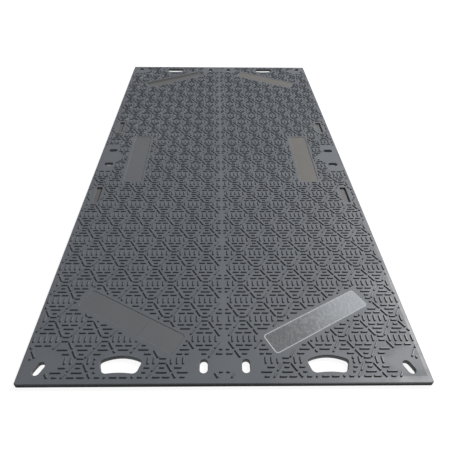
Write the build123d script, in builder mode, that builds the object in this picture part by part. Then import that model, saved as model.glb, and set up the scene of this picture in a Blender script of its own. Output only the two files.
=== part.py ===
"""Moulded temporary road plate, lying with its tread up.

Millimetres, +Z up. The origin is the middle of the underside. X runs across
the plate and Y along it. Everything is the same in all four quarters.
"""
import math
import os

from build123d import *

# Sheet
plate_width = 1220.0
plate_length = 2440.0
sheet_thickness = 16.0
corner_radius = 8.0
top_edge_chamfer = 2.5
bottom_edge_chamfer = 1.5

# Linking slots, all of one size, with round ends
slot_length = 45.0
slot_width = 24.0
slot_pitch = 127.0
side_slot_inset = 53.5
end_slot_inset = 57.0
corner_slot_inset_x = 57.0
corner_slot_inset_y = 51.0
corner_slot_angle = 65.0

# Hand holes, a bowed trapezium behind a grip bar at each end of the plate
hand_hole_offset = 313.0
grip_bar_width = 33.0
hand_hole_inner_width = 128.0
hand_hole_outer_width = 100.0
hand_hole_depth = 42.0
hand_hole_crown = 17.0
grip_bar_arch = 5.0
hand_hole_inner_radius = 10.0
hand_hole_outer_radius = 16.0

# Blind pockets beside the side slots
pocket_length = 110.0
pocket_width = 27.0
pocket_depth = 8.0
pocket_inset = 51.5
pocket_offset = 314.0

# Shallow plain panels, one leaning across each quarter and one along each side
panel_corner_radius = 11.0
leaning_panel_length = 382.0
leaning_panel_width = 77.0
leaning_panel_depth = 1.2
leaning_panel_angle = 29.5
leaning_panel_offset = 308.0
leaning_panel_inset = 224.0
side_panel_length = 412.0
side_panel_width = 84.0
side_panel_depth = 2.0
side_panel_inset = 193.0

# Tread, upright ribs that outline elongated hexagons
tread_height = 4.0
rib_width = 5.0
cell_pitch_x = 62.2
cell_pitch_y = 152.5
cell_gap = 15.25
flat_length = 25.2
smallest_rib_area = 60.0

# Bare ground that the tread leaves
side_margin = 12.0
end_margin = 20.0
panel_land = 12.0
pocket_land = 11.0
hand_hole_land = 14.0

# Bare ground round the end slots
end_land_above = 10.5
end_land_step = 18.0
end_land_inward = 27.5
end_land_outward = 45.5
end_land_shelf = 35.5
end_land_below = 13.0

# Bare hexagon inside each pair of side slots
side_land_apex = 77.5
side_land_shoulder = 30.5
side_land_rise = 58.0
side_land_half_length = 120.0

# Bare ground round the corner slots
corner_land_inward = 65.0
corner_land_shoulder = 54.0
corner_land_above = 41.0
corner_land_crown = 56.0
corner_land_below = 23.0

half_width = plate_width / 2
half_length = plate_length / 2
quarters = [(sx, sy) for sx in (-1, 1) for sy in (-1, 1)]


def mirrored(x, y):
    """The same point in each of the four quarters."""
    return [(sx * x, sy * y) for sx, sy in quarters]


end_slots = mirrored(slot_pitch / 2, half_length - end_slot_inset)
side_slots = mirrored(half_width - side_slot_inset, slot_pitch / 2)
corner_slot_x = half_width - corner_slot_inset_x
corner_slot_y = half_length - corner_slot_inset_y
pockets = mirrored(half_width - pocket_inset, pocket_offset)
side_panels = [(sx * (half_width - side_panel_inset), 0) for sx in (-1, 1)]
leaning_panel_y = half_length - leaning_panel_inset


def hand_hole_outline():
    """Hand hole of the far right quarter, with its bowed side to the middle."""
    outer = half_length - grip_bar_width
    inner = outer - hand_hole_depth
    x = hand_hole_offset
    outer_left = (x - hand_hole_outer_width / 2, outer)
    outer_right = (x + hand_hole_outer_width / 2, outer)
    inner_left = (x - hand_hole_inner_width / 2, inner)
    inner_right = (x + hand_hole_inner_width / 2, inner)
    with BuildSketch() as outline:
        with BuildLine():
            ThreePointArc(outer_left, (x, outer - grip_bar_arch), outer_right)
            Line(outer_right, inner_right)
            ThreePointArc(inner_right, (x, inner - hand_hole_crown), inner_left)
            Line(inner_left, outer_left)
        make_face()
        corners = outline.vertices().group_by(Axis.Y)
        fillet(corners[0], radius=hand_hole_inner_radius)
        fillet(corners[-1], radius=hand_hole_outer_radius)
    return outline.sketch


def in_each_quarter(outline):
    """A far right outline with its mirror images in the other three quarters."""
    with BuildSketch() as copies:
        add(outline)
        mirror(about=Plane.YZ)
        mirror(about=Plane.XZ)
    return copies.sketch


def through_holes():
    """All slots and hand holes in plan."""
    with BuildSketch() as holes:
        with Locations(*end_slots):
            SlotOverall(slot_length, slot_width, rotation=90)
        with Locations(*side_slots):
            SlotOverall(slot_length, slot_width)
        for sx, sy in quarters:
            with Locations((sx * corner_slot_x, sy * corner_slot_y)):
                SlotOverall(slot_length, slot_width, rotation=sx * sy * corner_slot_angle)
        add(in_each_quarter(hand_hole_outline()))
    return holes.sketch


def leaning_panels():
    """The four leaning panels in plan."""
    with BuildSketch() as panels:
        for sx, sy in quarters:
            with Locations((sx * leaning_panel_offset, sy * leaning_panel_y)):
                RectangleRounded(
                    leaning_panel_length,
                    leaning_panel_width,
                    panel_corner_radius,
                    rotation=-sx * sy * leaning_panel_angle,
                )
    return panels.sketch


def side_panel_outlines():
    """The two side panels in plan."""
    with BuildSketch() as panels:
        with Locations(*side_panels):
            RectangleRounded(side_panel_width, side_panel_length, panel_corner_radius)
    return panels.sketch


def pocket_outlines():
    """The four pockets in plan."""
    with BuildSketch() as outlines:
        with Locations(*pockets):
            Rectangle(pocket_width, pocket_length)
    return outlines.sketch


def recess_lands():
    """Bare ground round every panel and pocket, with plain corners."""
    with BuildSketch() as lands:
        for sx, sy in quarters:
            with Locations((sx * leaning_panel_offset, sy * leaning_panel_y)):
                Rectangle(
                    leaning_panel_length + 2 * panel_land,
                    leaning_panel_width + 2 * panel_land,
                    rotation=-sx * sy * leaning_panel_angle,
                )
        with Locations(*side_panels):
            Rectangle(side_panel_width + 2 * panel_land, side_panel_length + 2 * panel_land)
        with Locations(*pockets):
            Rectangle(pocket_width + 2 * pocket_land, pocket_length + 2 * pocket_land)
    return lands.sketch


def end_land():
    """Bare ground round an end slot, up to the plate's middle and its end."""
    slot_x = slot_pitch / 2
    slot_y = half_length - end_slot_inset
    above = slot_y - slot_length / 2 - end_land_above
    below = slot_y + end_land_below
    outward = slot_x + end_land_outward
    inward = slot_x - end_land_inward
    step = outward - end_land_shelf
    with BuildSketch() as land:
        with BuildLine():
            Polyline(
                (0, above),
                (step, above),
                (step, above - end_land_step),
                (outward, above - end_land_step),
                (outward, half_length),
                (inward, half_length),
                (inward, below),
                (0, below),
                close=True,
            )
        make_face()
    return land.sketch


def corner_land():
    """Bare ground round a corner slot, narrowing towards the plate's end."""
    inward = corner_slot_x - corner_land_inward
    shoulder = corner_slot_x - corner_land_shoulder
    crown = corner_slot_y - corner_land_crown
    with BuildSketch() as land:
        with BuildLine():
            Polyline(
                (shoulder, crown),
                (inward, corner_slot_y - corner_land_above),
                (inward, corner_slot_y - slot_width / 2),
                (shoulder, corner_slot_y),
                (corner_slot_x - corner_land_below, corner_slot_y + slot_width / 2),
                (corner_slot_x - corner_land_below, half_length),
                (half_width, half_length),
                (half_width, corner_slot_y - slot_length / 2),
                (corner_slot_x + slot_width / 2, crown),
                close=True,
            )
        make_face()
    return land.sketch


def side_land():
    """Half of the bare hexagon round a pair of side slots."""
    apex = half_width - side_slot_inset - side_land_apex
    shoulder = half_width - side_slot_inset - side_land_shoulder
    with BuildSketch() as land:
        with BuildLine():
            Polyline(
                (apex, 0),
                (shoulder, side_land_rise),
                (shoulder, side_land_half_length),
                (half_width, side_land_half_length),
                (half_width, 0),
                close=True,
            )
        make_face()
    return land.sketch


def bare_ground():
    """Every place inside the margins where the sheet stays smooth."""
    with BuildSketch() as ground:
        Rectangle(flat_length, plate_length)
        add(recess_lands())
        with BuildSketch(mode=Mode.PRIVATE) as hole:
            add(hand_hole_outline())
            offset(amount=hand_hole_land)
        for outline in (hole.sketch, end_land(), corner_land(), side_land()):
            add(in_each_quarter(outline))
    return ground.sketch


def zigzag_side(odd_level, even_level, side):
    """Mitred corners along one side of a rib that steps between two levels.

    The rib is level across each column of cells and slants between columns.
    """
    columns = math.ceil(half_width / cell_pitch_x)
    lean = math.atan2(abs(even_level - odd_level), cell_pitch_x - flat_length)
    rise = math.copysign(1, even_level - odd_level)
    mitre = side * rise * rib_width / 2 * math.tan(lean / 2)
    corners = []
    for column in range(-columns, columns + 1):
        odd = column % 2 == 1
        level = (odd_level if odd else even_level) + side * rib_width / 2
        half = flat_length / 2 + (-mitre if odd else mitre)
        x = column * cell_pitch_x
        corners += [(x - half, level), (x + half, level)]
    return corners


def zigzag_rib(odd_level, even_level):
    """One rib across the whole plate, before it is trimmed."""
    upper = zigzag_side(odd_level, even_level, 1)
    lower = zigzag_side(odd_level, even_level, -1)
    with BuildSketch() as rib:
        with BuildLine():
            Polyline(*upper, *reversed(lower), close=True)
        make_face()
    return rib.sketch


def tread_outline():
    """Zigzag ribs in plan, trimmed to the margins and the bare ground.

    Two ribs mirror each other about each row of cells in the odd columns.
    The cells in the even columns lie half a pitch further along.
    """
    rows = math.ceil(half_length / cell_pitch_y)
    far = (cell_pitch_y - cell_gap) / 2
    near = cell_gap / 2
    zigzags = []
    for row in range(-rows, rows + 1):
        centre = row * cell_pitch_y
        zigzags.append(zigzag_rib(centre - far, centre - near))
        zigzags.append(zigzag_rib(centre + far, centre + near))
    with BuildSketch() as ribs:
        add(zigzags)
        Rectangle(
            plate_width - 2 * side_margin,
            plate_length - 2 * end_margin,
            mode=Mode.INTERSECT,
        )
        add(bare_ground(), mode=Mode.SUBTRACT)
    return [rib for rib in ribs.faces() if rib.area > smallest_rib_area]


with BuildPart() as road_plate:
    with BuildSketch():
        RectangleRounded(plate_width, plate_length, corner_radius)
    extrude(amount=sheet_thickness)
    chamfer(road_plate.faces().sort_by(Axis.Z)[-1].edges(), length=top_edge_chamfer)
    chamfer(road_plate.faces().sort_by(Axis.Z)[0].edges(), length=bottom_edge_chamfer)
    with BuildSketch():
        add(through_holes())
    extrude(amount=sheet_thickness, mode=Mode.SUBTRACT)
    for outlines, depth in (
        (leaning_panels(), leaning_panel_depth),
        (side_panel_outlines(), side_panel_depth),
        (pocket_outlines(), pocket_depth),
    ):
        with BuildSketch(Plane.XY.offset(sheet_thickness)):
            add(outlines)
        extrude(amount=-depth, mode=Mode.SUBTRACT)
    with BuildSketch(Plane.XY.offset(sheet_thickness)):
        add(tread_outline())
    extrude(amount=tread_height)

road_plate.part.label = "road_plate"

os.makedirs("parts", exist_ok=True)
export_step(road_plate.part, "parts/road_plate.step")
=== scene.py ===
"""Dressed looks of a moulded temporary road plate lying on a pale floor.

Sizes are in millimetres in the classes and become metres only in the meshes.
The plate's frame has its origin under the middle, X across, Y along and Z up.
"""

import logging
import math
from dataclasses import dataclass
from enum import Enum

import bpy
import numpy as np
from mathutils import Matrix, Vector
from mathutils.geometry import tessellate_polygon


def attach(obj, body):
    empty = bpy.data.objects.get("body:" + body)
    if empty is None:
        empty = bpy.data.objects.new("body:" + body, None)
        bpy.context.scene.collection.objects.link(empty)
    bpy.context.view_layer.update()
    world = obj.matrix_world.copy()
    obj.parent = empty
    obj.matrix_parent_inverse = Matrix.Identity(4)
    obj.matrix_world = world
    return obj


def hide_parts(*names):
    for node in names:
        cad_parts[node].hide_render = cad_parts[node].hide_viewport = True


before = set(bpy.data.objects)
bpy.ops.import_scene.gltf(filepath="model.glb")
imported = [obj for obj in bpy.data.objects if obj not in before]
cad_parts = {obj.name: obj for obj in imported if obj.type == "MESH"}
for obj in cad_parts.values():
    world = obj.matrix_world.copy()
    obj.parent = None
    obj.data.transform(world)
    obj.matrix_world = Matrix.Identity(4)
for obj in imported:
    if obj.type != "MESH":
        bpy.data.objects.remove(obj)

MM = 0.001
NODE = "road_plate"
LOG = logging.getLogger("road_plate")
Pair = tuple[float, float]


class Floor(Enum):
    """What lies at the bottom of a hollow in the sheet."""

    OPEN = "goes right through"
    CLOSED = "has a flat bottom"


class Area(Enum):
    """Ground with a finish of its own, as the number its faces carry."""

    GROUND = 0.0
    SMOOTH_PANEL = 1.0
    FROSTED_PANEL = 2.0
    DARK_PANEL = 3.0
    WARM_PANEL = 4.0
    COOL_SIDE = 5.0
    WARM_SIDE = 6.0
    POCKET = 7.0
    EDGE = 8.0
    # the frosted panel's rim faces, which are coloured with a painted highlight
    FROSTED_RIM = 9.0


# Shader arithmetic


class Signal:
    """A number that varies over a surface: one socket, with arithmetic on it."""

    def __init__(self, bench: "Bench", socket: bpy.types.NodeSocket) -> None:
        """Keeps the bench that adds nodes and the socket that gives the number."""
        self.bench = bench
        self.socket = socket

    def _join(self, operation: str, *terms: "Signal | float") -> "Signal":
        """One Math node.

        Args:
            operation: the node's operation.
            terms: its inputs in order.

        Returns:
            The node's result.
        """
        inputs = {place: term for place, term in enumerate(terms)}
        return self.bench.signal("ShaderNodeMath", {"operation": operation}, inputs)

    def __add__(self, other: "Signal | float") -> "Signal":
        """Sum."""
        return self._join("ADD", self, other)

    __radd__ = __add__

    def __mul__(self, other: "Signal | float") -> "Signal":
        """Product."""
        return self._join("MULTIPLY", self, other)

    __rmul__ = __mul__

    def __sub__(self, other: "Signal | float") -> "Signal":
        """Difference."""
        return self._join("SUBTRACT", self, other)

    def __rsub__(self, other: float) -> "Signal":
        """Difference with the number first."""
        return self._join("SUBTRACT", other, self)

    def __pow__(self, other: float) -> "Signal":
        """Power."""
        return self._join("POWER", self, other)

    def size(self) -> "Signal":
        """The number without its sign."""
        return self._join("ABSOLUTE", self)

    def near(self, value: float, reach: float) -> "Signal":
        """1 where this number lies within reach of value, else 0."""
        return self._join("COMPARE", self, value, reach)

    def ramp(self, low: float, high: float) -> "Signal":
        """Smooth rise from 0 at low to 1 at high."""
        settings = {"interpolation_type": "SMOOTHSTEP"}
        inputs = {"Value": self, "From Min": low, "From Max": high}
        return self.bench.signal("ShaderNodeMapRange", settings, inputs)


class Bench:
    """Adds nodes to one material."""

    def __init__(self, name: str) -> None:
        """Starts an empty node material of that name."""
        self.material = bpy.data.materials.new(name)
        self.material.use_nodes = True
        self.tree = self.material.node_tree
        self.tree.nodes.clear()

    def node(self, kind: str, settings: dict | None = None, inputs: dict | None = None) -> bpy.types.Node:
        """Makes a node, sets it up and feeds it.

        Args:
            kind: the node's type.
            settings: its own settings, which are set first.
            inputs: socket name or place to a value, a Signal or a socket.

        Returns:
            The node.
        """
        made = self.tree.nodes.new(kind)
        for key, value in (settings or {}).items():
            setattr(made, key, value)
        for key, value in (inputs or {}).items():
            socket = made.inputs[key]
            if isinstance(value, Signal):
                self.tree.links.new(value.socket, socket)
            elif isinstance(value, bpy.types.NodeSocket):
                self.tree.links.new(value, socket)
            else:
                socket.default_value = value
        return made

    def signal(self, kind: str, settings: dict | None = None, inputs: dict | None = None) -> Signal:
        """A new node's first output as a Signal, with the arguments of node."""
        return Signal(self, self.node(kind, settings, inputs).outputs[0])

    def place(self) -> bpy.types.NodeSocket:
        """Object coordinates, in metres."""
        return self.node("ShaderNodeTexCoord").outputs["Object"]

    def noise(self, scale: float, detail: float, stretch: tuple[float, float, float] = (1, 1, 1)) -> Signal:
        """Cloudy pattern.

        Args:
            scale: clouds to the metre.
            detail: octaves.
            stretch: factor on each axis, where less than 1 draws it out.

        Returns:
            A number about 0.5.
        """
        mapping = self.node("ShaderNodeMapping", {}, {"Vector": self.place(), "Scale": stretch})
        inputs = {"Vector": mapping.outputs[0], "Scale": scale, "Detail": detail}
        return self.signal("ShaderNodeTexNoise", {}, inputs)

    def blend(self, amount: Signal, low: tuple, high: tuple | bpy.types.NodeSocket) -> bpy.types.NodeSocket:
        """Mixes two colours.

        Args:
            amount: 0 gives low and 1 gives high.
            low: a colour or a colour socket.
            high: a colour or a colour socket.

        Returns:
            The colour socket.
        """
        mix = self.node("ShaderNodeMix", {"data_type": "RGBA"}, {0: amount, 6: low, 7: high})
        return mix.outputs[2]

    def finish(self, shader: bpy.types.NodeSocket) -> bpy.types.Material:
        """Feeds the material's output and returns the material."""
        output = self.node("ShaderNodeOutputMaterial")
        self.tree.links.new(shader, output.inputs["Surface"])
        return self.material


def tone(level: float, warmth: float = 0.0) -> tuple[float, float, float, float]:
    """A grey in linear light.

    Args:
        level: brightness.
        warmth: above 0 leans to yellow and below 0 to blue.

    Returns:
        Colour with full alpha.
    """
    return (level * (1 + warmth), level * (1 + warmth * 0.2), level * (1 - warmth), 1.0)


# Finishes


@dataclass(frozen=True)
class MouldedPlastic:
    """Dark moulded plastic with cloudy tone, fine grain and worn patches."""

    body: tuple = tone(0.128, -0.085)
    faded: tuple = tone(0.148, -0.075)
    dust: tuple = tone(0.30, -0.02)
    gloss_roughness: float = 0.44
    specular: float = 0.35
    grain_height: float = 0.00012
    sag_height: float = 0.004

    def wear(self, bench: Bench) -> tuple[Signal, Signal, Signal]:
        """Wide clouds, hand-sized patches and fine dust, each from 0 to 1."""
        clouds = bench.noise(2.2, 4.0).ramp(0.34, 0.68)
        patches = bench.noise(17.0, 5.0).ramp(0.40, 0.70)
        specks = bench.noise(420.0, 3.0).ramp(0.62, 0.80)
        scuffs = bench.noise(60.0, 4.0, (1.0, 0.12, 1.0)).ramp(0.60, 0.78)
        return clouds, patches, specks * 0.10 + scuffs * patches * 0.10

    def relief(self, bench: Bench, frost: Signal | None = None, blotches: Signal | None = None) -> dict:
        """Fine grain, then frosting where asked, then a slow sag, as bumps on bumps.

        Args:
            bench: the material's bench.
            frost: how strong the frosting is.
            blotches: its pattern.

        Returns:
            The Normal input for a shader.
        """
        layers = [(0.5, self.grain_height, bench.noise(1500.0, 2.0))]
        if frost:
            layers.append((frost * 0.6, 0.0006, blotches))
        layers.append((0.5, self.sag_height, bench.noise(5.0, 2.0)))
        below = {}
        for strength, distance, height in layers:
            inputs = {"Strength": strength, "Distance": distance, "Height": height, **below}
            below = {"Normal": bench.node("ShaderNodeBump", {}, inputs).outputs[0]}
        return below

    def shade(self, bench: Bench, colour: bpy.types.NodeSocket, roughness: Signal, relief: dict) -> bpy.types.Material:
        """Ends the material with its one shader."""
        inputs = {"Base Color": colour, "Roughness": roughness, "Specular IOR Level": self.specular, **relief}
        return bench.finish(bench.node("ShaderNodeBsdfPrincipled", {}, inputs).outputs[0])

    def make(self, name: str) -> bpy.types.Material:
        """Builds the material.

        Args:
            name: the material's name.

        Returns:
            The material.
        """
        bench = Bench(name)
        clouds, patches, dusty = self.wear(bench)
        base = bench.blend(clouds * 0.55 + patches * 0.30, self.body, self.faded)
        roughness = self.gloss_roughness + patches * 0.08 - clouds * 0.05
        return self.shade(bench, bench.blend(dusty, base, self.dust), roughness, self.relief(bench))


@dataclass(frozen=True)
class SheetPlastic(MouldedPlastic):
    """The same plastic with a finish of its own in each panel and at the edge, with painted light: a painted shadow in
    the dark panel, painted shade on the edge, a painted sheen on the frosted panel and painted highlights on its rim
    and along the near right edge.
    """

    smooth: tuple = tone(0.130, -0.05)
    frosted: tuple = tone(0.125, -0.06)
    # painted sheen: pale tone blended into the frosted panel, growing towards its right end
    painted_sheen: tuple = tone(0.330, -0.06)
    # painted highlight: pale colour on the frosted panel's rim faces, where its edges catch the light
    rim_highlight: tuple = tone(0.420, -0.03)
    dark: tuple = tone(0.115, 0.0)
    # painted shadow: dark tone for the band along the dark panel's far edge, under its recess wall
    recess_shadow: tuple = tone(0.055, -0.02)
    warm: tuple = tone(0.132, 0.05)
    warm_side: tuple = tone(0.132, 0.07)
    # darker than the body: partly the cut side faces' own dull tone, partly painted shade
    edge: tuple = tone(0.060, -0.02)
    # painted highlight: pale tone along the front top edge, stronger towards the right
    edge_highlight: tuple = tone(0.36, -0.02)
    polish: float = 0.10

    def make(self, name: str) -> bpy.types.Material:
        """Builds the material.

        Args:
            name: the material's name.

        Returns:
            The material.
        """
        bench = Bench(name)
        area = Signal(bench, bench.node("ShaderNodeAttribute", {"attribute_name": "area"}).outputs["Fac"])
        axes = bench.node("ShaderNodeSeparateXYZ", {}, {"Vector": bench.place()})
        x, y, z = (Signal(bench, axes.outputs[i]) for i in range(3))
        clouds, patches, dusty = self.wear(bench)
        colour = bench.blend(clouds * 0.55 + patches * 0.30, self.body, self.faded)
        for kind, paint in (
            (Area.SMOOTH_PANEL, self.smooth),
            (Area.FROSTED_PANEL, self.frosted),
            (Area.FROSTED_RIM, self.rim_highlight),
            (Area.DARK_PANEL, self.dark),
            (Area.WARM_PANEL, self.warm),
            (Area.COOL_SIDE, self.smooth),
            (Area.WARM_SIDE, self.warm_side),
            (Area.POCKET, self.dark),
            (Area.EDGE, self.edge),
        ):
            colour = bench.blend(area.near(kind.value, 0.5), colour, paint)
        frost = area.near(Area.FROSTED_PANEL.value, 0.5)
        blotches = bench.noise(95.0, 6.0).ramp(0.42, 0.66)
        along, across = self.leaning(x, y)
        # painted sheen on the frosted panel: paler towards its right end, mottled by the frosting's blotches
        sheen_mask = (along + blotches * 0.05).ramp(-0.34, -0.03)
        colour = bench.blend(frost * sheen_mask, colour, self.painted_sheen)
        # painted shadow of the recess wall: a dark band along the dark panel's far edge
        shaded = area.near(Area.DARK_PANEL.value, 0.5) * (across + patches * 0.01).ramp(1.018, 1.034)
        colour = bench.blend(shaded * 0.8, colour, self.recess_shadow)
        colour = bench.blend(dusty + frost * blotches * 0.12, colour, self.dust)
        # painted highlight on the front top edge and bevel, growing towards the right
        edge_highlight_mask = y.ramp(-1.2160, -1.2185) * z.ramp(0.0118, 0.0128) * x.ramp(-0.05, 0.45) * 0.8
        colour = bench.blend(edge_highlight_mask, colour, self.edge_highlight)
        field = x.size().ramp(0.598, 0.595) * y.size().ramp(1.200, 1.197)
        dull = area.near(Area.EDGE.value, 0.5) * 0.4 + field * self.polish
        roughness = self.gloss_roughness + patches * 0.08 - clouds * 0.05 + dull
        return self.shade(bench, colour, roughness, self.relief(bench, frost, blotches))

    @staticmethod
    def leaning(x: Signal, y: Signal, turn: float = 29.5) -> tuple[Signal, Signal]:
        """Places along and across the lean of the near right and far left panels."""
        c, s = math.cos(math.radians(turn)), math.sin(math.radians(turn))
        return x * c + y * s, y * c - x * s


@dataclass(frozen=True)
class PaleFloor:
    """White studio floor that still takes a shadow."""

    glow: float = 0.92
    paint: tuple = (0.16, 0.16, 0.16, 1.0)

    def make(self, name: str) -> bpy.types.Material:
        """Builds the material.

        Args:
            name: the material's name.

        Returns:
            The material.
        """
        bench = Bench(name)
        path = bench.node("ShaderNodeLightPath")
        seen = Signal(bench, path.outputs["Is Camera Ray"])
        shine = Signal(bench, path.outputs["Is Glossy Ray"])
        through = Signal(bench, path.outputs["Is Transmission Ray"])
        direct = seen + shine + through
        lit = bench.node("ShaderNodeBsdfDiffuse", {}, {"Color": self.paint})
        glow = bench.node("ShaderNodeEmission", {}, {"Strength": direct * self.glow})
        both = bench.node("ShaderNodeAddShader", {}, {0: lit.outputs[0], 1: glow.outputs[0]})
        return bench.finish(both.outputs[0])


# Plan outlines


@dataclass(frozen=True)
class Outline:
    """A closed smooth loop in plan, run anticlockwise, with outward normals."""

    points: np.ndarray
    normals: np.ndarray

    def moved(self, at: Pair, turn: float = 0.0, flip: tuple[int, int] = (1, 1)) -> "Outline":
        """A turned, mirrored and shifted copy.

        Each point is turned by the angle, its X and Y are multiplied by the
        flip, and the place is added. An odd number of flips reverses the order.

        Args:
            at: where the loop's own origin goes.
            turn: degrees, anticlockwise.
            flip: sign for X and for Y.

        Returns:
            The copy.
        """
        angle = math.radians(turn)
        spin = np.array([[math.cos(angle), math.sin(angle)], [-math.sin(angle), math.cos(angle)]])
        signs = np.array(flip, float)
        points = (self.points @ spin) * signs + np.array(at, float)
        normals = (self.normals @ spin) * signs
        if flip[0] * flip[1] < 0:
            points, normals = points[::-1], normals[::-1]
        return Outline(points, normals)


def arc(centre: Pair, radius: float, start: float, end: float, steps: int, inward: bool = False) -> tuple:
    """Points and normals on an arc: the centre plus the radius times the direction.

    Args:
        centre: the arc's centre.
        radius: its radius.
        start: first angle in degrees.
        end: last angle in degrees.
        steps: how many points.
        inward: True where the loop's outside is towards the centre.

    Returns:
        Points and outward normals.
    """
    angles = np.radians(np.linspace(start, end, steps))
    rays = np.column_stack([np.cos(angles), np.sin(angles)])
    return np.array(centre) + radius * rays, -rays if inward else rays


def joined(*stretches: tuple) -> Outline:
    """One loop from stretches of points and normals, in order."""
    return Outline(np.vstack([s[0] for s in stretches]), np.vstack([s[1] for s in stretches]))


def rounded_box(width: float, length: float, radius: float, steps: int = 7) -> Outline:
    """A rectangle whose four corners are quarter circles, about its middle.

    Args:
        width: size in X.
        length: size in Y.
        radius: corner radius.
        steps: points in a corner.

    Returns:
        The loop.
    """
    x, y = width / 2 - radius, length / 2 - radius
    corners = [((x, y), 0), ((-x, y), 90), ((-x, -y), 180), ((x, -y), 270)]
    return joined(*(arc(c, radius, a, a + 90, steps) for c, a in corners))


def stadium(length: float, width: float, steps: int = 13) -> Outline:
    """A slot along X with half-circle ends, about its middle."""
    reach = (length - width) / 2
    right = arc((reach, 0), width / 2, -90, 90, steps)
    left = arc((-reach, 0), width / 2, 90, 270, steps)
    return joined(right, left)


@dataclass(frozen=True)
class HandHole:
    """A trapezium with two bowed sides, its wide bowed side to the plate's middle.

    Its own Y runs towards the plate's end, from the wide side's corner line.
    """

    wide: float = 128.0
    narrow: float = 100.0
    depth: float = 42.0
    crown: float = 17.0
    arch: float = 5.0
    wide_corner: float = 10.0
    narrow_corner: float = 16.0
    steps: int = 19

    @staticmethod
    def bow(half: float, rise: float) -> float:
        """Radius of the circle through a chord's ends with that rise at its middle."""
        return (half * half + rise * rise) / (2 * rise)

    def outline(self) -> Outline:
        """The loop.

        A corner's centre lies one radius inside the slanted side and one radius
        off the bowed side, so it is where a line meets a circle.

        Returns:
            The loop, anticlockwise.
        """
        foot = np.array([self.wide / 2, 0.0])
        head = np.array([self.narrow / 2, self.depth])
        run = (head - foot) / np.linalg.norm(head - foot)
        out = np.array([run[1], -run[0]])
        low_radius = self.bow(self.wide / 2, self.crown)
        low_centre = np.array([0.0, low_radius - self.crown])
        high_radius = self.bow(self.narrow / 2, self.arch)
        high_centre = np.array([0.0, self.depth - self.arch + high_radius])
        low = self._corner(foot, run, out, self.wide_corner, low_centre, low_radius - self.wide_corner, 1)
        high = self._corner(
            foot, run, out, self.narrow_corner, high_centre, high_radius + self.narrow_corner, 1
        )
        side = math.degrees(math.atan2(out[1], out[0]))
        low_angle = math.degrees(math.atan2(*(low - low_centre)[::-1]))
        high_angle = math.degrees(math.atan2(*(high_centre - high)[::-1]))
        arch_angle = math.degrees(math.atan2(*(high - high_centre)[::-1]))
        crown = arc(tuple(low_centre), low_radius, -180 - low_angle, low_angle, self.steps)
        right_foot = arc(tuple(low), self.wide_corner, low_angle, side, 7)
        right_head = arc(tuple(high), self.narrow_corner, side, high_angle, 7)
        arch = arc(tuple(high_centre), high_radius, arch_angle, -180 - arch_angle, self.steps, True)
        left_head = (right_head[0][::-1] * (-1, 1), right_head[1][::-1] * (-1, 1))
        left_foot = (right_foot[0][::-1] * (-1, 1), right_foot[1][::-1] * (-1, 1))
        inner = (crown[0][1:-1], crown[1][1:-1])
        outer = (arch[0][1:-1], arch[1][1:-1])
        return joined(inner, right_foot, right_head, outer, left_head, left_foot)

    @staticmethod
    def _corner(
        foot: np.ndarray,
        run: np.ndarray,
        out: np.ndarray,
        inset: float,
        centre: np.ndarray,
        reach: float,
        sense: int,
    ) -> np.ndarray:
        """Where the line inset from a side crosses a circle.

        Args:
            foot: a point on the side.
            run: the side's direction.
            out: the side's outward normal.
            inset: how far inside the side the line runs.
            centre: the circle's centre.
            reach: the circle's radius.
            sense: 1 or -1 for the crossing nearer to the side's own span.

        Returns:
            The crossing.
        """
        start = foot - out * inset
        offset = start - centre
        half = float(offset @ run)
        rest = float(offset @ offset) - reach * reach
        root = math.sqrt(max(half * half - rest, 0.0))
        near = min((-half + root, -half - root), key=lambda t: abs(t - 20.0 * sense))
        return start + run * near


# Meshes


@dataclass
class MeshParts:
    """Vertices and faces gathered for one piece, with each face's area and shading."""

    vertices: list
    faces: list
    areas: list
    smooth: list
    count: int = 0

    @staticmethod
    def empty() -> "MeshParts":
        """Nothing gathered yet."""
        return MeshParts([], [], [], [])

    def add(self, points: np.ndarray, faces: list, area: Area, smooth: bool) -> int:
        """Takes in points and the faces on them.

        Args:
            points: N by 3, in millimetres.
            faces: lists of places in points.
            area: what the faces belong to.
            smooth: True for rounded faces.

        Returns:
            The first point's place among all points.
        """
        first = self.count
        self.vertices.append(points)
        self.faces.extend([[first + i for i in face] for face in faces])
        self.areas.extend([area.value] * len(faces))
        self.smooth.extend([smooth] * len(faces))
        self.count += len(points)
        return first

    def mesh(self, name: str) -> bpy.types.Mesh:
        """The gathered mesh in metres, its doubles merged."""
        mesh = bpy.data.meshes.new(name)
        mesh.from_pydata((np.vstack(self.vertices) * MM).tolist(), [], self.faces)
        mesh.attributes.new("area", "FLOAT", "FACE").data.foreach_set("value", self.areas)
        mesh.polygons.foreach_set("use_smooth", self.smooth)
        weld(mesh)
        return mesh


def weld(mesh: bpy.types.Mesh, reach: float = 1e-6) -> None:
    """Merges points of a mesh that lie within reach of each other, in metres."""
    import bmesh

    work = bmesh.new()
    work.from_mesh(mesh)
    bmesh.ops.remove_doubles(work, verts=work.verts, dist=reach)
    work.to_mesh(mesh)
    work.free()
    mesh.update()


def show(mesh: bpy.types.Mesh, material: bpy.types.Material, replaces: str | None = None) -> bpy.types.Object:
    """Puts a finished mesh in the scene as a piece of the plate.

    Args:
        mesh: the piece's mesh, in the plate's frame.
        material: its finish.
        replaces: the solid it stands for, if any.

    Returns:
        The piece.
    """
    piece = bpy.data.objects.new(mesh.name, mesh)
    bpy.context.scene.collection.objects.link(piece)
    mesh.materials.append(material)
    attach(piece, "root")
    if replaces:
        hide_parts(replaces)
    return piece


@dataclass(frozen=True)
class Hollow:
    """A hole or recess in the sheet: a loop carried along a section.

    The section is a list of steps: how far outside the loop, and how deep
    below the sheet's top.
    """

    outline: Outline
    section: tuple[Pair, ...]
    floor: Floor
    area: Area


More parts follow.
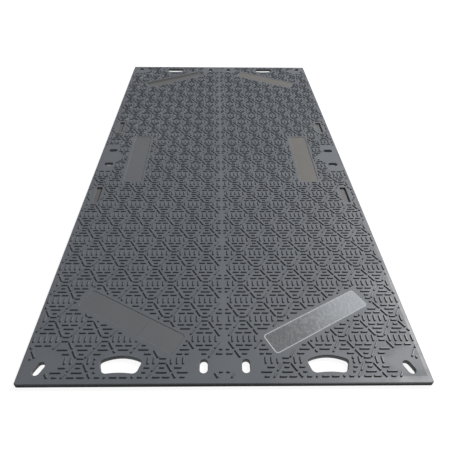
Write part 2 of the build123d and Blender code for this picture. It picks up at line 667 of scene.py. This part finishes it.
@dataclass(frozen=True)
class Sheet:
    """The smooth body of the plate with all its hollows."""

    width: float = 1220.0
    length: float = 2440.0
    thickness: float = 16.0
    corner: float = 8.0
    bevel: float = 2.5
    foot: float = 1.5
    rim: float = 1.6
    lip: float = 3.5
    slot_length: float = 45.0
    slot_width: float = 24.0
    end_slot: Pair = (63.5, 1163.0)
    side_slot: Pair = (556.5, 63.5)
    corner_slot: Pair = (553.0, 1169.0)
    corner_lean: float = 65.0
    hand_hole: Pair = (313.0, 1145.0)
    pocket: Pair = (558.5, 314.0)
    pocket_size: Pair = (27.0, 110.0)
    pocket_depth: float = 8.0
    leaning_panel: Pair = (308.0, 996.0)
    leaning_size: Pair = (382.0, 77.0)
    leaning_turn: float = 29.5
    leaning_depth: float = 1.2
    side_panel: float = 417.0
    side_size: Pair = (84.0, 412.0)
    side_depth: float = 2.0
    panel_corner: float = 11.0

    def through(self, outline: Outline) -> Hollow:
        """A hole right through, its rims rounded at the top and bottom."""
        r, t = self.rim, self.thickness
        section = (
            (r, 0.0),
            (r * 0.45, r * 0.12),
            (r * 0.12, r * 0.45),
            (0.0, r),
            (0.0, t - r * 0.6),
            (r * 0.6, t),
        )
        return Hollow(outline, section, Floor.OPEN, Area.GROUND)

    def recess(self, outline: Outline, depth: float, area: Area) -> Hollow:
        """A recess with a rounded rim, a small radius round its floor and a lip on it."""
        rim = min(1.0, depth * 0.5)
        foot = min(1.2, depth * 0.5)
        section = (
            (rim, 0.0),
            (rim * 0.4, rim * 0.15),
            (0.0, rim),
            (-foot * 0.15, depth - foot * 0.6),
            (-foot * 0.6, depth - foot * 0.12),
            (-foot * 1.3, depth),
            (-self.lip, depth),
        )
        return Hollow(outline, section, Floor.CLOSED, area)

    def hollows(self) -> list[Hollow]:
        """Every hole and recess, each in four or two mirrored places."""
        slot = stadium(self.slot_length, self.slot_width)
        grip = HandHole().outline()
        leaning = rounded_box(*self.leaning_size, self.panel_corner)
        pocket = rounded_box(*self.pocket_size, 4.0)
        side = rounded_box(*self.side_size, self.panel_corner)
        finish = {
            (-1, -1): Area.SMOOTH_PANEL,
            (1, -1): Area.FROSTED_PANEL,
            (-1, 1): Area.DARK_PANEL,
            (1, 1): Area.WARM_PANEL,
        }
        found = []
        for flip, area in finish.items():
            sx, sy = flip
            found.append(self.through(slot.moved((sx * self.end_slot[0], sy * self.end_slot[1]), 90)))
            found.append(self.through(slot.moved((sx * self.side_slot[0], sy * self.side_slot[1]))))
            corner = (sx * self.corner_slot[0], sy * self.corner_slot[1])
            found.append(self.through(slot.moved(corner, self.corner_lean * sx * sy)))
            found.append(self.through(grip.moved((sx * self.hand_hole[0], sy * self.hand_hole[1]), 0, flip)))
            place = (sx * self.leaning_panel[0], sy * self.leaning_panel[1])
            turned = leaning.moved(place, -self.leaning_turn * sx * sy)
            found.append(self.recess(turned, self.leaning_depth, area))
            place = (sx * self.pocket[0], sy * self.pocket[1])
            found.append(self.recess(pocket.moved(place), self.pocket_depth, Area.POCKET))
        for sx, area in ((-1, Area.COOL_SIDE), (1, Area.WARM_SIDE)):
            found.append(self.recess(side.moved((sx * self.side_panel, 0)), self.side_depth, area))
        return found

    def rings(self, outline: Outline, section: tuple[Pair, ...]) -> np.ndarray:
        """A loop carried along a section.

        Each ring is the loop's points plus its normals times the step's first
        number, at the sheet's top less the step's second number.

        Args:
            outline: the loop.
            section: the steps.

        Returns:
            Rings by points by 3.
        """
        steps = np.array(section)
        plan = outline.points[None] + outline.normals[None] * steps[:, 0, None, None]
        heights = np.broadcast_to((self.thickness - steps[:, 1])[:, None, None], plan.shape[:2] + (1,))
        return np.concatenate([plan, heights], axis=2)

    @staticmethod
    def band(rings: int, points: int, inside: bool) -> list:
        """Four-sided faces between neighbouring rings.

        Args:
            rings: how many rings.
            points: points in a ring.
            inside: True where the faces look towards the loop's middle.

        Returns:
            Faces as places in the rings' points, row by row.
        """
        row, column = np.meshgrid(np.arange(rings - 1), np.arange(points), indexing="ij")
        after = (column + 1) % points
        quads = np.stack(
            [row * points + column, row * points + after, (row + 1) * points + after, (row + 1) * points + column],
            axis=2,
        ).reshape(-1, 4)
        return (quads if inside else quads[:, ::-1]).tolist()

    @staticmethod
    def plane(edge: np.ndarray, holes: list[np.ndarray], up: bool) -> tuple[np.ndarray, list]:
        """Flat ground inside an edge loop and outside the holes.

        Args:
            edge: the loop round the ground, N by 3.
            holes: the loops that are left out.
            up: True where the ground faces up.

        Returns:
            Points and triangles.
        """
        loops = [edge, *holes]
        points = np.vstack(loops)
        triangles = tessellate_polygon([[Vector(p) for p in loop] for loop in loops])
        corners = points[np.array(triangles), :2]
        one, two = corners[:, 1] - corners[:, 0], corners[:, 2] - corners[:, 0]
        facing = (one[:, 0] * two[:, 1] - one[:, 1] * two[:, 0]) > 0
        turned = [list(t) if ok == up else list(t)[::-1] for t, ok in zip(triangles, facing)]
        return points, turned

    def build(self) -> bpy.types.Mesh:
        """The whole sheet as one closed mesh."""
        parts = MeshParts.empty()
        edge = rounded_box(self.width, self.length, self.corner, 9)
        b, f, t = self.bevel, self.foot, self.thickness
        section = (
            (-b - 0.5, 0.0),
            (-b + 0.25, 0.25),
            (-0.25, b - 0.25),
            (0.0, b + 0.5),
            (0.0, t - f),
            (-f, t),
        )
        rim = self.rings(edge, section)
        for stretch, area in ((rim[:4], Area.GROUND), (rim[3:], Area.EDGE)):
            faces = self.band(len(stretch), len(edge.points), False)
            parts.add(stretch.reshape(-1, 3), faces, area, True)
        top_holes, bottom_holes = [], []
        for hollow in self.hollows():
            rings = self.rings(hollow.outline, hollow.section)
            faces = self.band(len(hollow.section), len(hollow.outline.points), True)
            frosted = hollow.area is Area.FROSTED_PANEL
            # the frosted panel's rim faces get an area of their own, which carries a painted highlight
            parts.add(rings.reshape(-1, 3), faces, Area.FROSTED_RIM if frosted else hollow.area, True)
            top_holes.append(rings[0])
            if hollow.floor is Floor.OPEN:
                bottom_holes.append(rings[-1])
            else:
                points, triangles = self.plane(rings[-1], [], True)
                parts.add(points, triangles, hollow.area, False)
        parts.add(*self.plane(rim[0], top_holes, True), Area.GROUND, False)
        parts.add(*self.plane(rim[-1], bottom_holes, False), Area.GROUND, False)
        return parts.mesh("plate_sheet")


@dataclass(frozen=True)
class Bar:
    """Section of one raised tread bar."""

    width: float = 5.0
    height: float = 4.0
    sink: float = 0.3
    draft: float = 0.6
    shoulder: float = 0.8
    clip: float = 1.3

    def build(self, lines: np.ndarray, level: float, name: str) -> bpy.types.Mesh:
        """One mesh of bars along straight lines.

        A bar is an eight-sided outline at three heights: wider by the draft
        where it meets the sheet, its own size at the shoulder, and smaller by
        the shoulder at the top. Each outline's point is the line's middle plus
        its direction times the point's run plus its left side times the
        point's reach.

        Args:
            lines: N by 4, each bar's ends in plan.
            level: height of the sheet's top.
            name: the mesh's name.

        Returns:
            The mesh.
        """
        ends = lines.reshape(-1, 2, 2)
        middle = ends.mean(axis=1)
        span = ends[:, 1] - ends[:, 0]
        length = np.linalg.norm(span, axis=1)
        along = span / length[:, None]
        left = np.column_stack([-along[:, 1], along[:, 0]])
        heights = np.array([-self.sink, self.height - self.shoulder, self.height])
        grow = np.array([self.draft, 0.0, -self.shoulder])
        sign_u = np.array([1, 1, -1, -1, -1, -1, 1, 1])
        sign_v = np.array([-1, 1, 1, 1, 1, -1, -1, -1])
        cut_u = np.array([0, 0, 1, 1, 0, 0, 1, 1])
        order = np.array([0, 1, 2, 3, 4, 5, 6, 7])
        sign_v = np.array([-1, 1, 1, 1, 1, -1, -1, -1])[order]
        cut_v = 1 - cut_u
        sign_u = np.array([1, 1, 1, -1, -1, -1, -1, 1])
        run = length[:, None, None] / 2 + grow[None, :, None] - self.clip * cut_u[None, None, :]
        reach = self.width / 2 + grow[None, :, None] - self.clip * cut_v[None, None, :]
        u, v = run * sign_u, np.broadcast_to(reach * sign_v, run.shape)
        plan = (
            middle[:, None, None, :]
            + u[..., None] * along[:, None, None, :]
            + v[..., None] * left[:, None, None, :]
        )
        z = np.broadcast_to(level + heights[None, :, None, None], plan.shape[:3] + (1,))
        points = np.concatenate([plan, z], axis=3).reshape(-1, 3) * MM
        ring, step = np.meshgrid(np.arange(2), np.arange(8), indexing="ij")
        after = (step + 1) % 8
        quads = np.stack([ring * 8 + step, ring * 8 + after, ring * 8 + 8 + after, ring * 8 + 8 + step], axis=2)
        quads = quads.reshape(-1, 4)
        caps = np.array([[16, 17, 18, 19, 20, 21, 22, 23], [7, 6, 5, 4, 3, 2, 1, 0]])
        base = (np.arange(len(lines)) * 24)[:, None, None]
        sides = (quads[None] + base).reshape(-1, 4).tolist()
        ends_faces = (caps[None] + base).reshape(-1, 8).tolist()
        mesh = bpy.data.meshes.new(name)
        mesh.from_pydata(points.tolist(), [], sides + ends_faces)
        mesh.update()
        return mesh


def cut(lines: np.ndarray, polygon: np.ndarray) -> np.ndarray:
    """What is left of straight lines outside a convex polygon.

    A line is its start plus t times its span, with t from 0 to 1. It enters at
    the greatest t of the edges it crosses inwards and leaves at the least t of
    those it crosses outwards, and both remaining stretches are kept.

    Args:
        lines: N by 4.
        polygon: corners, M by 2, anticlockwise.

    Returns:
        The remaining lines.
    """
    start, span = lines[:, :2], lines[:, 2:] - lines[:, :2]
    edge = np.roll(polygon, -1, axis=0) - polygon
    out = np.column_stack([edge[:, 1], -edge[:, 0]])
    room = (out * polygon).sum(axis=1)[None] - start @ out.T
    rate = span @ out.T
    with np.errstate(divide="ignore", invalid="ignore"):
        t = room / rate
    enter = np.where(rate < 0, t, -np.inf).max(axis=1)
    leave = np.where(rate > 0, t, np.inf).min(axis=1)
    outside = ((rate == 0) & (room < 0)).any(axis=1) | (enter >= leave) | (enter >= 1) | (leave <= 0)
    kept = lines[outside]
    hit, enter, leave = lines[~outside], enter[~outside], leave[~outside]
    first = hit.copy()
    first[:, 2:] = hit[:, :2] + (hit[:, 2:] - hit[:, :2]) * enter[:, None]
    last = hit.copy()
    last[:, :2] = hit[:, :2] + (hit[:, 2:] - hit[:, :2]) * leave[:, None]
    return np.vstack([kept, first[enter > 0], last[leave < 1]])


@dataclass(frozen=True)
class Tread:
    """The lattice of bars and the bare ground it leaves.

    Cells stand in columns. Those of the odd columns are centred on the
    plate's middle and every pitch from it, those of the even columns half a
    pitch further along.
    """

    column_pitch: float = 62.2
    row_pitch: float = 152.5
    columns: int = 10
    rows: int = 9
    shelf: float = 15.25
    field: Pair = (598.0, 1200.0)
    shortest: float = 4.5
    split: float = 6.0
    lane: float = 6.0

    def cell(self, middle: bool) -> dict[str, np.ndarray]:
        """One cell's bars about its centre.

        Uprights stand in a row across the middle. Above and below them lie
        rungs that shorten away from it, and the last of them closes the cell.
        Slants, each in two lengths, close its right side.

        Args:
            middle: True for the column on the centre line, which leaves a lane.

        Returns:
            Lines by family.
        """
        r = self.shelf
        uprights = np.array([[x, -11.5, x, 11.5] for x in (-36, -18, 0, 18, 36) if x or not middle])
        inner = self.lane if middle else 4.0
        rungs = [[s * inner, q * 1.5 * r, s * 25.0, q * 1.5 * r] for s in (-1, 1) for q in (-1, 1)]
        for q in (-1, 1):
            if middle:
                rungs += [[s * inner, q * 2.5 * r, s * 15.6, q * 2.5 * r] for s in (-1, 1)]
            else:
                rungs += [[-15.5, q * 2.5 * r, 15.5, q * 2.5 * r]]
                rungs += [[-7.0, q * 3.5 * r, 7.0, q * 3.5 * r]]
                rungs += [[-10.0, q * 4.5 * r, 10.0, q * 4.5 * r]]
        slants = []
        for q in (-1, 1):
            high, low = np.array([14.1, q * 66.1]), np.array([48.1, q * 10.1])
            gap = (low - high) / np.linalg.norm(low - high) * self.split / 2
            centre = (high + low) / 2
            slants += [[*high, *(centre - gap)], [*(centre + gap), *low]]
        return {"uprights": uprights, "rungs": np.array(rungs), "slants": np.array(slants)}

    def lattice(self) -> dict[str, np.ndarray]:
        """Every cell's bars over the whole plate, by family."""
        plain, middle = self.cell(False), self.cell(True)
        families = {}
        for family in plain:
            stretches = []
            for column in range(-self.columns, self.columns + 1):
                bars = middle[family] if column == 0 else plain[family]
                row = np.arange(-self.rows, self.rows + 1) + (0.0 if column % 2 else 0.5)
                shift = np.zeros((len(row), 4))
                shift[:, 0::2] = column * self.column_pitch
                shift[:, 1::2] = row[:, None] * self.row_pitch
                stretches.append((shift[:, None] + bars[None]).reshape(-1, 4))
            families[family] = np.vstack(stretches)
        return families

    @staticmethod
    def block(x0: float, y0: float, x1: float, y1: float) -> np.ndarray:
        """An upright rectangle's corners, anticlockwise."""
        return np.array([[x0, y0], [x1, y0], [x1, y1], [x0, y1]], float)

    def bare(self, sheet: Sheet) -> list[np.ndarray]:
        """Convex stretches of bare ground in the far right quarter.

        Args:
            sheet: the sheet whose hollows they surround.

        Returns:
            Corners of each, anticlockwise.
        """
        land = 12.0
        angle = math.radians(-sheet.leaning_turn)
        spin = np.array([[math.cos(angle), math.sin(angle)], [-math.sin(angle), math.cos(angle)]])
        half_l, half_w = sheet.leaning_size[0] / 2 + land, sheet.leaning_size[1] / 2 + land
        leaning = self.block(-half_l, -half_w, half_l, half_w) @ spin + np.array(sheet.leaning_panel)
        side_w, side_l = sheet.side_size[0] / 2 + land, sheet.side_size[1] / 2 + land
        px, py = sheet.pocket
        pw, pl = sheet.pocket_size[0] / 2 + 11, sheet.pocket_size[1] / 2 + 11
        hx, hy = sheet.hand_hole
        hand = np.array([[-79, -3], [-60, -24], [0, -31], [60, -24], [79, -3], [68, 40], [60, 49], [-60, 49], [-68, 40]])
        corner = np.array([[488, 1128], [499, 1113], [566, 1113], [566, 1174], [499, 1174], [488, 1160]], float)
        return [
            leaning,
            self.block(sheet.side_panel - side_w, -1, sheet.side_panel + side_w, side_l),
            self.block(px - pw, py - pl, px + pw, py + pl),
            hand + np.array([hx, hy]),
            self.block(-1, 1135, 73.5, 1176),
            self.block(73, 1112, 109, 1220),
            self.block(108, 1129, 121, 1172),
            self.block(36, 1171, 107, 1220),
            corner,
            np.array([[541, 1099], [583, 1099], [566, 1125], [531, 1125], [531, 1113]], float),
            self.block(530, 1140, 611, 1220),
            self.block(490, 1083, 506, 1097),
            np.array([[479, 0], [526, -58], [526, 58]], float),
            self.block(525.9, -1, 611, 120),
        ]

    def lines(self, sheet: Sheet) -> dict[str, np.ndarray]:
        """The bars that stand, by family.

        Args:
            sheet: the sheet they stand on.

        Returns:
            Lines by family, N by 4.
        """
        families = {}
        x, y = self.field
        far = 3000.0
        outside = [
            self.block(x, -far, far, far),
            self.block(-far, -far, -x, far),
            self.block(-far, y, far, far),
            self.block(-far, -far, far, -y),
        ]
        for family, bars in self.lattice().items():
            for polygon in outside:
                bars = cut(bars, polygon)
            for polygon in self.bare(sheet):
                for sx in (-1, 1):
                    for sy in (-1, 1):
                        image = polygon * (sx, sy)
                        bars = cut(bars, image if sx * sy > 0 else image[::-1])
            length = np.hypot(bars[:, 2] - bars[:, 0], bars[:, 3] - bars[:, 1])
            families[family] = bars[length >= self.shortest]
        return families


@dataclass(frozen=True)
class PanelRibs:
    """Two low ribs across the smooth leaning panel."""

    shares: Pair = (0.42, 0.65)
    width: float = 2.4
    height: float = 0.9

    def lines(self, sheet: Sheet) -> np.ndarray:
        """The ribs' centre lines on the near left panel, N by 4."""
        angle = math.radians(-sheet.leaning_turn)
        along = np.array([math.cos(angle), math.sin(angle)])
        across = np.array([-along[1], along[0]])
        centre = -np.array(sheet.leaning_panel)
        half = sheet.leaning_size[1] / 2 - 2.0
        found = []
        for share in self.shares:
            middle = centre + along * sheet.leaning_size[0] * (share - 0.5)
            found.append([*(middle - across * half), *(middle + across * half)])
        return np.array(found)


# Stage


@dataclass(frozen=True)
class Stage:
    """Floor, lamps and camera."""

    eye: tuple[float, float, float] = (-0.02856, -1.82538, 1.15523)
    pitch: float = 48.685
    roll: float = -0.802
    yaw: float = -0.020
    lens: float = 33.313
    sensor: float = 36.0
    shift: float = 0.0104

    def floor(self) -> None:
        """A wide flat floor just under the plate."""
        mesh = bpy.data.meshes.new("studio_floor")
        reach = 40.0
        corners = [(-reach, -reach, 0), (reach, -reach, 0), (reach, reach, 0), (-reach, reach, 0)]
        mesh.from_pydata(corners, [], [(0, 1, 2, 3)])
        mesh.materials.append(PaleFloor().make("studio_floor_white"))
        floor = bpy.data.objects.new("studio_floor", mesh)
        floor_level = -0.0005
        mesh.transform(Matrix.Translation((0, 0, floor_level)))
        bpy.context.scene.collection.objects.link(floor)

    def world(self, strength: float = 0.20) -> None:
        """White surroundings, a little softer as light than as background."""
        world = bpy.data.worlds.new("studio_world")
        world.use_nodes = True
        tree = world.node_tree
        tree.nodes.clear()
        path = tree.nodes.new("ShaderNodeLightPath")
        background = tree.nodes.new("ShaderNodeBackground")
        background.inputs["Color"].default_value = (1, 1, 1, 1)
        plain = tree.nodes.new("ShaderNodeMath")
        plain.operation = "MULTIPLY_ADD"
        plain.inputs[1].default_value = 1 - strength
        plain.inputs[2].default_value = strength
        tree.links.new(path.outputs["Is Camera Ray"], plain.inputs[0])
        tree.links.new(plain.outputs[0], background.inputs["Strength"])
        output = tree.nodes.new("ShaderNodeOutputWorld")
        tree.links.new(background.outputs[0], output.inputs["Surface"])
        bpy.context.scene.world = world

    def lamp(self, name: str, place: tuple, aim: tuple, size: float, power: float) -> None:
        """One soft square lamp.

        Args:
            name: its name.
            place: where it hangs, in metres.
            aim: what it points at.
            size: its side, in metres.
            power: watts.
        """
        light = bpy.data.lights.new(name, "AREA")
        light.shape = "SQUARE"
        light.size = size
        light.energy = power
        lamp = bpy.data.objects.new(name, light)
        away = Vector(place) - Vector(aim)
        lamp.matrix_world = Matrix.Translation(place) @ away.to_track_quat("Z", "Y").to_matrix().to_4x4()
        bpy.context.scene.collection.objects.link(lamp)

    def camera(self) -> None:
        """The photograph's viewpoint: turned by roll, then pitch, then yaw."""
        data = bpy.data.cameras.new("viewpoint")
        data.lens = self.lens
        data.sensor_width = self.sensor
        data.shift_x = self.shift
        data.clip_end = 200.0
        camera = bpy.data.objects.new("viewpoint", data)
        turn = (
            Matrix.Rotation(math.radians(self.yaw), 4, "Z")
            @ Matrix.Rotation(math.radians(self.pitch), 4, "X")
            @ Matrix.Rotation(math.radians(self.roll), 4, "Y")
        )
        camera.matrix_world = Matrix.Translation(self.eye) @ turn
        bpy.context.scene.collection.objects.link(camera)
        bpy.context.scene.camera = camera

    def build(self) -> None:
        """Sets the whole stage."""
        self.floor()
        self.world()
        self.lamp("key_lamp", (4.63, 3.24, 5.66), (0.0, 0.0, 0.0), 1.8, 790.0)
        self.camera()
        settings = bpy.context.scene.view_settings
        settings.view_transform = "Standard"


def main() -> None:
    """Dresses the plate and sets the stage."""
    logging.basicConfig(level=logging.INFO, format="%(message)s")
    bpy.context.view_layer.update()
    sheet = Sheet()
    plastic = SheetPlastic().make("sheet_plastic")
    tread_plastic = MouldedPlastic().make("tread_plastic")
    body = show(sheet.build(), plastic, NODE)
    LOG.info("%s: %d faces", body.name, len(body.data.polygons))
    for family, lines in Tread().lines(sheet).items():
        mesh = Bar().build(lines, sheet.thickness, "tread_" + family)
        piece = show(mesh, tread_plastic, NODE)
        LOG.info("%s: %d bars", piece.name, len(lines))
    ribs = PanelRibs()
    low_bar = Bar(width=ribs.width, height=ribs.height, shoulder=0.5, draft=0.5, clip=0.6)
    mesh = low_bar.build(ribs.lines(sheet), sheet.thickness - sheet.leaning_depth, "panel_ribs")
    piece = show(mesh, tread_plastic)
    LOG.info("%s: %d bars", piece.name, len(ribs.shares))
    Stage().build()


if __name__ == "__main__":
    main()
